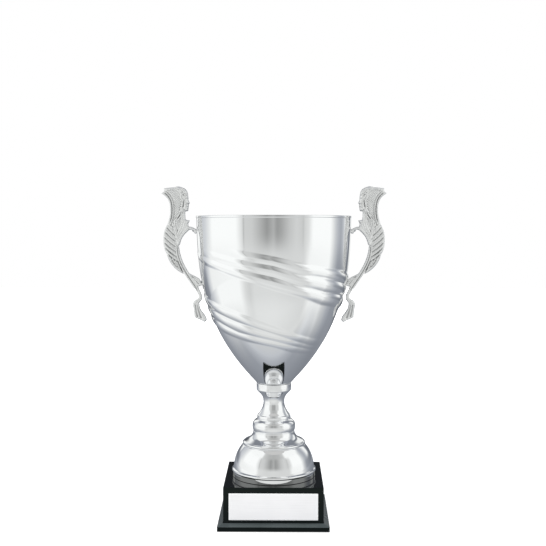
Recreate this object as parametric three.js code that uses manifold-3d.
// A two-handled silver cup trophy on a stepped black base.
// Millimetres, +Z up. The origin is the middle of the base's underside, and -Y is the engraved front.
import * as THREE from "three";
import { mergeVertices } from "three/addons/utils/BufferGeometryUtils.js";
import Module from "manifold-3d";

const wasm = await Module();
wasm.setup();

// ---- Driving dimensions ----

const GAP = 0.3; // clearance between pieces that meet on a curved or sloping face

// base
const PAD = { side: 120, thickness: 1 };
const PLINTH = { side: 126, edge: 5.2, height: 8, topSide: 114 };
const BLOCK = { side: 113, height: 40 };
const PLATE = { width: 100.2, height: 30.3, thickness: 0.75, aboveBlockFoot: 3.5 };
const TAPE = { inset: 2, thickness: 0.5 };
const PLINTH_SCREW = { offset: 42, length: 22, radius: 2, headRadius: 4, headHeight: 2 };

// the levels of the stack, from the floor up
const Z_PLINTH = PAD.thickness;
const Z_BLOCK = Z_PLINTH + PLINTH.height;
const Z_FOOT = Z_BLOCK + BLOCK.height;
const Z_KNOP = Z_FOOT + 52.5;
const Z_STEM = Z_KNOP + 15;
const Z_COLLAR = Z_STEM + 30;
const Z_BOWL = Z_COLLAR + 9.5;
const Z_RIM = Z_BOWL + 197.5;

// heights of the swirl and of the handles are drawn for a rim at 352, and move with the rim
const LIFT = Z_RIM - 352;

// clamping hardware: an M6 rod from the base's underside to the bowl's floor
const ROD_RADIUS = 3;
const ROD_BORE = 3.3;
const NUT = { acrossFlats: 10, height: 5 };
const WASHER = { radius: 10, thickness: 1.5 };
const RECESS = { radius: 13, depth: 12 };
const ROD_END_DEPTH = 2; // from the plinth's underside up to the rod's lower end
const ROD_PROUD = 4; // above the nut inside the bowl

// bowl
const BOWL_WALL = 1;
const BOWL_FLOOR_RADIUS = 15.5;
const HEM = { proud: 0.5, height: 2.5 };
const BOWL_PROFILE = [
  [20.2, 2.9],
  [30.4, 13.9],
  [42, 28.1],
  [55, 47],
  [65.8, 66],
  [73.9, 85.5],
  [80, 105.5],
  [84.9, 125.5],
  [88, 145.5],
  [89.3, 165.5],
  [89.8, 185],
  [90, 197.5],
]; // radius, height above the bowl's floor

// Swirl: three beads wind down round the bowl, each proud of its wall. A row is an angle from the
// front towards +X in degrees, and the heights of the beads' four edges there.
const SWIRL = [
  [-140, 345, 336, 327, 322],
  [-70, 328, 318, 307.5, 300],
  [-45, 320, 310, 301, 291.5],
  [-20, 312, 302.5, 292, 281],
  [0, 306.5, 297.5, 285.5, 271.5],
  [20, 299.5, 288, 275.5, 263.5],
  [42, 294, 283, 267.5, 253.5],
  [65, 289.5, 276.5, 263, 248],
  [90, 286, 271.5, 259, 243.5],
  [180, 275, 262, 249, 235],
  [270, 263, 251, 240, 228],
  [300, 255.5, 244, 232, 220],
  [325, 247, 234.5, 222, 213.5],
  [360, 231, 221.5, 213.5, 206],
  [382, 221, 213, 207, 199.5],
  [405, 214, 206, 201.5, 196],
  [440, 209, 202, 197, 192],
];
const SWIRL_STARTS = [
  [-34, -8],
  [-80, -12],
  [-120, -40],
]; // the angles over which each bead, from the top, rises out of the wall
const SWIRL_END = [395, 440]; // the angles over which they all sink back into it
const BEAD_RISE = 0.12; // a bead's height as a share of its width

// handles
const HANDLE_SCREW = { radius: 1.5, bore: 1.7, headRadius: 2.8, headHeight: 2, length: 8 };
const HANDLE_WASHER = { radius: 3.5, thickness: 0.5 };
const HANDLE_FIXINGS = [
  { name: "upper", z: 335.2, tilt: 0 },
  { name: "lower", z: 275.4, tilt: THREE.MathUtils.degToRad(12) },
];

// ---- Materials ----

const metal = (color, roughness) => new THREE.MeshStandardMaterial({ color, roughness, metalness: 1 });
const plain = (color, roughness) => new THREE.MeshStandardMaterial({ color, roughness, metalness: 0 });
const polishedSilver = metal(0xe6e7e9, 0.06);
const castSilver = metal(0xd8d9da, 0.22);
const zincSteel = metal(0xb9bcc0, 0.35);
const satinAluminium = metal(0xf0eef0, 0.4);
const blackLacquer = plain(0x0b0d0e, 0.12);
const blackFelt = plain(0x141414, 0.95);
const tapeFoam = plain(0xdedad2, 0.8);

// ---- Geometry helpers ----

// A closed three.js geometry as a manifold-3d solid.
function toSolid(geometry) {
  const bare = geometry.clone();
  bare.deleteAttribute("normal");
  bare.deleteAttribute("uv");
  const merged = mergeVertices(bare, 1e-4);
  return new wasm.Manifold(
    new wasm.Mesh({
      numProp: 3,
      vertProperties: merged.attributes.position.array,
      triVerts: new Uint32Array(merged.index.array),
    }),
  );
}

// A manifold-3d solid as a three.js geometry.
function toGeometry(solid) {
  const mesh = solid.getMesh();
  const geometry = new THREE.BufferGeometry();
  geometry.setAttribute("position", new THREE.BufferAttribute(mesh.vertProperties, 3));
  geometry.setIndex(new THREE.BufferAttribute(mesh.triVerts, 1));
  geometry.computeVertexNormals();
  return geometry;
}

const cut = (geometry, ...tools) =>
  toGeometry(tools.reduce((solid, tool) => solid.subtract(toSolid(tool)), toSolid(geometry)));

const join = (...geometries) =>
  toGeometry(geometries.map(toSolid).reduce((whole, solid) => whole.add(solid)));

// A solid of revolution about Z. The outline's [radius, height] points run up the outside.
function revolve(outline, segments = 48) {
  const points = outline.map(([radius, height]) => new THREE.Vector2(radius, height));
  return new THREE.LatheGeometry(points, segments).rotateX(Math.PI / 2);
}

// A ring: as revolve, with a bore down the middle, so the outline closes on itself.
function revolveRing(outline, bore, segments = 48) {
  const low = outline[0][1];
  const high = outline[outline.length - 1][1];
  return revolve([[bore, low], ...outline, [bore, high], [bore, low]], segments);
}

// A round bar along Z between two heights.
function bar(radius, low, high, segments = 24) {
  return revolve([[0, low], [radius, low], [radius, high], [0, high]], segments);
}

// Points along a smooth curve through the given [x, y] points.
function smooth(points, count) {
  const curve = new THREE.SplineCurve(points.map(([x, y]) => new THREE.Vector2(x, y)));
  return curve.getPoints(count).map((p) => [p.x, p.y]);
}

// The value at x on a polyline of [x, value] points sorted by x.
function valueAt(points, x) {
  const next = points.findIndex(([px]) => px >= x);
  if (next <= 0) return points[next < 0 ? points.length - 1 : 0][1];
  const [[x0, v0], [x1, v1]] = [points[next - 1], points[next]];
  return v0 + ((v1 - v0) * (x - x0)) / (x1 - x0);
}

const parts = new THREE.Group();

function addPart(name, geometry, material, parent = parts) {
  const mesh = new THREE.Mesh(geometry, material);
  mesh.name = name;
  parent.add(mesh);
  return mesh;
}

// ---- Base ----

// A plate with straight sides in X and Y whose outline in height is a revolve with four facets.
function squareStack(outline) {
  const corners = outline.map(([half, height]) => [half * Math.SQRT2, height]);
  return revolve([[0, outline[0][1]], ...corners, [0, outline[outline.length - 1][1]]], 4).rotateZ(Math.PI / 4);
}

const screwCorners = [
  [-1, -1],
  [1, -1],
  [1, 1],
  [-1, 1],
].map(([x, y]) => new THREE.Vector3(x * PLINTH_SCREW.offset, y * PLINTH_SCREW.offset, Z_PLINTH));

// A countersunk wood screw pointing up, grown all round by an allowance.
function woodScrew(grow = 0) {
  const { length, radius, headRadius, headHeight } = PLINTH_SCREW;
  return revolve(
    [
      [0, -grow],
      [headRadius + grow, -grow],
      [radius + grow, headHeight],
      [radius + grow, length - 3],
      [0, length + grow],
    ],
    20,
  );
}

const grownScrews = screwCorners.map((corner) => woodScrew(GAP).translate(corner.x, corner.y, corner.z));

const base = new THREE.Group();
parts.add(base);

const pad = new THREE.BoxGeometry(PAD.side, PAD.side, PAD.thickness).translate(0, 0, PAD.thickness / 2);
addPart("base_felt_pad", pad, blackFelt, base);

const plinthOutline = [
  [PLINTH.side / 2, Z_PLINTH],
  [PLINTH.side / 2, Z_PLINTH + PLINTH.edge],
  [PLINTH.topSide / 2, Z_BLOCK],
];
const nutRecess = bar(RECESS.radius, Z_PLINTH - 1, Z_PLINTH + RECESS.depth, 40);
addPart("base_plinth", cut(squareStack(plinthOutline), nutRecess, ...grownScrews), blackLacquer, base);

const blockBox = new THREE.BoxGeometry(BLOCK.side, BLOCK.side, BLOCK.height);
blockBox.translate(0, 0, Z_BLOCK + BLOCK.height / 2);
const rodHole = bar(ROD_BORE, Z_PLINTH, Z_FOOT + 1);
addPart("base_block", cut(blockBox, nutRecess, rodHole, ...grownScrews), blackLacquer, base);

screwCorners.forEach((corner, i) => {
  addPart(`plinth_screw_${i + 1}`, woodScrew(), zincSteel, base).position.copy(corner);
});

const plateMiddle = Z_BLOCK + PLATE.aboveBlockFoot + PLATE.height / 2;
const tape = new THREE.BoxGeometry(PLATE.width - 2 * TAPE.inset, TAPE.thickness, PLATE.height - 2 * TAPE.inset);
addPart("plate_tape", tape, tapeFoam, base).position.set(0, -(BLOCK.side + TAPE.thickness) / 2, plateMiddle);
const plate = new THREE.BoxGeometry(PLATE.width, PLATE.thickness, PLATE.height);
const plateBack = BLOCK.side / 2 + TAPE.thickness;
addPart("engraving_plate", plate, satinAluminium, base).position.set(
  0,
  -(plateBack + PLATE.thickness / 2),
  plateMiddle,
);

// ---- Foot and stem ----

const column = new THREE.Group();
parts.add(column);

// The bell foot: an upright rim, a full dome, a bead on its shoulder and a cove up to the knop.
function footOutline() {
  const z = (above) => Z_FOOT + above;
  const rim = [[48.1, z(0)], [48.1, z(6.4)], [49.2, z(7.2)], [49.2, z(8.4)], [48, z(9.6)]];
  const dome = smooth([[47.3, z(10.5)], [46.2, z(18)], [43.9, z(25.2)], [40.6, z(31.8)], [37, z(36.6)]], 9);
  const bead = [[36.1, z(37.2)], [36.7, z(38.6)], [36.1, z(40.2)]];
  const cove = smooth([[34.6, z(41)], [29.6, z(43.6)], [26.2, z(46.8)], [24.4, z(50.2)], [24.2, z(52.5)]], 7);
  return [...rim, ...dome, ...bead, ...cove];
}

const FOOT_SHELL = 2.5;
const FOOT_POST_RADIUS = 9; // the post inside the foot carries the rod's clamping load
const footHollow = [
  [FOOT_POST_RADIUS, Z_FOOT - 1],
  [46.5, Z_FOOT - 1],
  [46.5, Z_FOOT + 4],
  [44.6, Z_FOOT + 11],
  [41, Z_FOOT + 25],
  [34, Z_FOOT + 36],
  [27, Z_FOOT + 42],
  [21, Z_FOOT + 52.5 - FOOT_SHELL],
  [FOOT_POST_RADIUS, Z_FOOT + 52.5 - FOOT_SHELL],
  [FOOT_POST_RADIUS, Z_FOOT - 1],
];
const footSolid = revolveRing(footOutline(), ROD_BORE);
addPart("foot_bell", cut(footSolid, revolve(footHollow, 32)), polishedSilver, column);

const knopOutline = [
  [24.1, Z_KNOP],
  ...smooth([[24.3, Z_KNOP + 1.2], [25.2, Z_KNOP + 5], [24.5, Z_KNOP + 9.8], [21.4, Z_KNOP + 13.2]], 8),
  [19.8, Z_KNOP + 14.2],
  [19.4, Z_STEM],
];
addPart("knop", revolveRing(knopOutline, ROD_BORE), polishedSilver, column);

const stemOutline = [
  [19.2, Z_STEM],
  [19.5, Z_STEM + 0.8],
  [19.4, Z_STEM + 3],
  [18.7, Z_STEM + 4],
  ...smooth([[17.9, Z_STEM + 5.4], [14.4, Z_STEM + 10.8], [12.3, Z_STEM + 18], [12.8, Z_STEM + 23.6]], 9),
  ...smooth([[13.8, Z_STEM + 25.8], [15.4, Z_STEM + 28.4], [16.8, Z_COLLAR]], 3),
];
addPart("stem", revolveRing(stemOutline, ROD_BORE), polishedSilver, column);

// The collar holds the bowl's foot in a dished seat.
const collarOutline = [
  [17, Z_COLLAR],
  [20.2, Z_COLLAR + 3.5],
  [20.2, Z_COLLAR + 11.5],
  [19, Z_COLLAR + 11.5],
  [BOWL_FLOOR_RADIUS + 0.1, Z_BOWL - GAP],
];
addPart("bowl_collar", revolveRing(collarOutline, ROD_BORE), polishedSilver, column);

// ---- Clamping hardware ----

function nutGeometry() {
  const corner = NUT.acrossFlats / Math.sqrt(3);
  const hexagon = new THREE.Shape(
    [...Array(6).keys()].map((i) => {
      const angle = (i * Math.PI) / 3;
      return new THREE.Vector2(corner * Math.cos(angle), corner * Math.sin(angle));
    }),
  );
  hexagon.holes.push(new THREE.Path().absarc(0, 0, ROD_BORE, 0, 2 * Math.PI, true));
  return new THREE.ExtrudeGeometry(hexagon, { depth: NUT.height, bevelEnabled: false, curveSegments: 10 });
}

const washerGeometry = revolveRing([[WASHER.radius, 0], [WASHER.radius, WASHER.thickness]], ROD_BORE, 32);
const Z_BASE_WASHER = Z_PLINTH + RECESS.depth - WASHER.thickness;
const Z_BOWL_WASHER = Z_BOWL + BOWL_WALL;
const Z_BOWL_NUT = Z_BOWL_WASHER + WASHER.thickness;

const hardware = new THREE.Group();
parts.add(hardware);
const rodTop = Z_BOWL_NUT + NUT.height + ROD_PROUD;
addPart("tie_rod", bar(ROD_RADIUS, Z_PLINTH + ROD_END_DEPTH, rodTop), zincSteel, hardware);
addPart("base_washer", washerGeometry, zincSteel, hardware).position.z = Z_BASE_WASHER;
addPart("base_nut", nutGeometry(), zincSteel, hardware).position.z = Z_BASE_WASHER - NUT.height;
addPart("bowl_washer", washerGeometry.clone(), zincSteel, hardware).position.z = Z_BOWL_WASHER;
addPart("bowl_nut", nutGeometry(), zincSteel, hardware).position.z = Z_BOWL_NUT;

// ---- Bowl ----

const bowlWall = smooth(BOWL_PROFILE, 30).map(([radius, above]) => [radius, Z_BOWL + above]);
const bowlRadiusAt = (z) => valueAt(bowlWall.map(([radius, height]) => [height, radius]), z);
const swirlEdges = [1, 2, 3, 4].map((k) => SWIRL.map((row) => [row[0], row[k]]));
const share = (value, [from, to]) => Math.min(1, Math.max(0, (value - from) / (to - from)));

// How far the swirl's beads stand out of the wall at an angle in degrees from the front.
function swirlHeight(angle, z) {
  let proud = 0;
  for (const turned of [angle, angle + 360]) {
    const edges = swirlEdges.map((edge) => valueAt(edge, turned) + LIFT);
    const end = 1 - share(turned, SWIRL_END);
    SWIRL_STARTS.forEach((start, k) => {
      const width = edges[k] - edges[k + 1];
      const across = (2 * (z - edges[k + 1])) / width - 1;
      proud = Math.max(proud, BEAD_RISE * width * (1 - across * across) * share(turned, start) * end);
    });
  }
  return proud;
}

// The bowl's outside as a solid, grown by an allowance.
function bowlOutside(grow = 0, segments = 64) {
  const hemLow = Z_RIM - HEM.height;
  const wall = bowlWall.filter(([, z]) => z < hemLow).map(([radius, z]) => [radius + grow, z]);
  const hemRadius = bowlWall[bowlWall.length - 1][0] + HEM.proud + grow;
  const outline = [
    [0, Z_BOWL - grow],
    [BOWL_FLOOR_RADIUS, Z_BOWL - grow],
    ...wall,
    [hemRadius, hemLow + 0.5],
    [hemRadius, Z_RIM],
    [0, Z_RIM],
  ];
  const geometry = revolve(outline, segments);
  const place = geometry.attributes.position;
  for (let i = 0; i < place.count; i++) {
    const x = place.getX(i);
    const y = place.getY(i);
    const radius = Math.hypot(x, y);
    if (radius < BOWL_FLOOR_RADIUS + 1) continue;
    const angle = THREE.MathUtils.radToDeg(Math.atan2(x, -y));
    const scale = 1 + swirlHeight(angle, place.getZ(i)) / radius;
    place.setXY(i, x * scale, y * scale);
  }
  return geometry;
}

function bowlInside() {
  const wall = smooth(BOWL_PROFILE, 14).map(([radius, above]) => [radius - BOWL_WALL, Z_BOWL + above]);
  wall[wall.length - 1][1] += 1;
  const floor = Z_BOWL + BOWL_WALL;
  return revolve([[0, floor], [BOWL_FLOOR_RADIUS - 0.4, floor], ...wall, [0, Z_RIM + 1]], 48);
}

// ---- Handle fixings ----

// Moves a geometry made along +X from the bowl's wall at y = 0 to a fixing on one side.
function atFixing(geometry, fixing, side) {
  const z = fixing.z + LIFT;
  geometry.rotateY(fixing.tilt).translate(bowlRadiusAt(z), 0, z);
  return side < 0 ? geometry.rotateZ(Math.PI) : geometry;
}

const alongX = (geometry) => geometry.rotateY(Math.PI / 2);
const wallFace = -(BOWL_WALL + 2 * GAP); // the washer's outer face, inside the wall
const headFace = wallFace - HANDLE_WASHER.thickness;

function fixingHole() {
  return alongX(bar(HANDLE_SCREW.bore, -4, HANDLE_SCREW.length, 16));
}

function handleScrew() {
  const { radius, headRadius, headHeight, length } = HANDLE_SCREW;
  const outline = [
    [0, headFace - headHeight],
    [headRadius * 0.7, headFace - headHeight],
    [headRadius, headFace - headHeight * 0.6],
    [headRadius, headFace],
    [radius, headFace],
    [radius, headFace + length],
    [0, headFace + length],
  ];
  return alongX(revolve(outline, 20));
}

function handleWasher() {
  const { radius, thickness } = HANDLE_WASHER;
  return alongX(revolveRing([[radius, headFace], [radius, headFace + thickness]], HANDLE_SCREW.bore, 20));
}

const SIDES = [
  ["right", 1],
  ["left", -1],
];
const fixings = SIDES.flatMap(([sideName, side]) =>
  HANDLE_FIXINGS.map((fixing) => ({ fixing, side, name: `${sideName}_${fixing.name}` })),
);
const fixingHoles = fixings.map(({ fixing, side }) => atFixing(fixingHole(), fixing, side));

addPart("bowl", cut(bowlOutside(), bowlInside(), bar(ROD_BORE, Z_BOWL - 1, Z_BOWL + 5), ...fixingHoles), polishedSilver);

for (const { fixing, side, name } of fixings) {
  addPart(`handle_screw_${name}`, atFixing(handleScrew(), fixing, side), zincSteel);
  addPart(`handle_washer_${name}`, atFixing(handleWasher(), fixing, side), zincSteel);
}

// ---- Handles ----

// Each limb of the winged figure follows [x, z, half width] points, x being the distance from the
// trophy's axis. It is a flat band of the given thickness with chamfered edges.
function limb(stations, thickness, count = 12) {
  const line = new THREE.SplineCurve(stations.map(([x, z]) => new THREE.Vector2(x, z)));
  const widths = new THREE.SplineCurve(stations.map(([, , half], i) => new THREE.Vector2(i, half)));
  const chamfer = thickness * 0.22;
  const sides = [[], []];
  for (let i = 0; i <= count; i++) {
    const t = i / count;
    const p = line.getPoint(t);
    const along = line.getTangent(t);
    const half = Math.max(0.3, widths.getPoint(t).y - chamfer);
    sides[0].push(new THREE.Vector2(p.x - along.y * half, p.y + along.x * half));
    sides[1].unshift(new THREE.Vector2(p.x + along.y * half, p.y - along.x * half));
  }
  return slab([...sides[0], ...sides[1]], thickness);
}

// A chamfered slab with a closed outline in X and Z, centred on Y = 0.
function slab(points, thickness) {
  const chamfer = thickness * 0.22;
  const geometry = new THREE.ExtrudeGeometry(new THREE.Shape(points), {
    depth: thickness - 2 * chamfer,
    bevelSize: chamfer,
    bevelThickness: chamfer,
    bevelSegments: 1,
  });
  return geometry.translate(0, 0, chamfer - thickness / 2).rotateX(Math.PI / 2);
}

const WING = [
  [119.5, 336, 6.5],
  [116.2, 346, 6.6],
  [113.4, 356, 7.6],
  [113.2, 366, 8.6],
  [116.2, 375.5, 8],
  [122.5, 380.7, 4.6],
  [129.2, 379.4, 2],
];
const HEAD = { x: 104.6, z: 369, width: 12.6, height: 31, thickness: 12 };
const NECK = [[106.5, 358, 3.8], [107.5, 350, 4.2], [109, 343, 7]];
const BUST = [[99.2, 346.2, 1.6], [103, 344.4, 3.6], [108, 341, 6.6], [113, 335, 8]];
const UPPER_BRACKET = [[89.8, 335, 2.8], [94, 337, 1.9], [100, 338.4, 2.2], [107, 336, 4]];
const BODY = [[115.5, 340, 9.5], [119, 330, 9.2], [120.4, 321, 9], [119.6, 312, 8.6], [115.8, 301, 7.8], [109.5, 292, 5.2]];
const LEG = [[113.5, 318, 2.6], [111.2, 306, 3.2], [105.5, 292, 3.2], [98.5, 279.6, 2.9], [91.5, 268, 2.6], [86.4, 258.6, 2.6]];
const LOWER_BRACKET = [[84.6, 275, 2.4], [89, 276.2, 2.9], [95.5, 279.4, 3]];
const ANKLE = [[86.4, 259.4, 2.5], [87.2, 254.6, 2.9], [91.3, 250.6, 3.6]];
const HOOF = [
  [88, 251.6],
  [95.6, 250.6],
  [94.8, 236],
  [88.5, 231.4],
  [80.6, 229.8],
  [79.9, 231.8],
  [86.2, 244],
];

function handleGeometry(side) {
  const head = new THREE.SphereGeometry(1, 18, 12);
  head.scale(HEAD.width / 2, HEAD.thickness / 2, HEAD.height / 2).translate(HEAD.x, 0, HEAD.z);
  const hoof = slab(
    HOOF.map(([x, z]) => new THREE.Vector2(x, z)),
    8,
  );
  const figure = join(
    limb(WING, 7, 14),
    head,
    limb(NECK, 9, 5),
    limb(BUST, 11, 7),
    limb(UPPER_BRACKET, 6, 7),
    limb(BODY, 8),
    limb(LEG, 8),
    limb(LOWER_BRACKET, 6, 5),
    limb(ANKLE, 7, 5),
    hoof,
  );
  figure.translate(0, 0, LIFT);
  if (side < 0) figure.rotateZ(Math.PI);
  return cut(figure, bowlOutside(GAP), ...fixingHoles);
}

for (const [sideName, side] of SIDES) {
  addPart(`handle_${sideName}`, handleGeometry(side), castSilver);
}

export default parts;
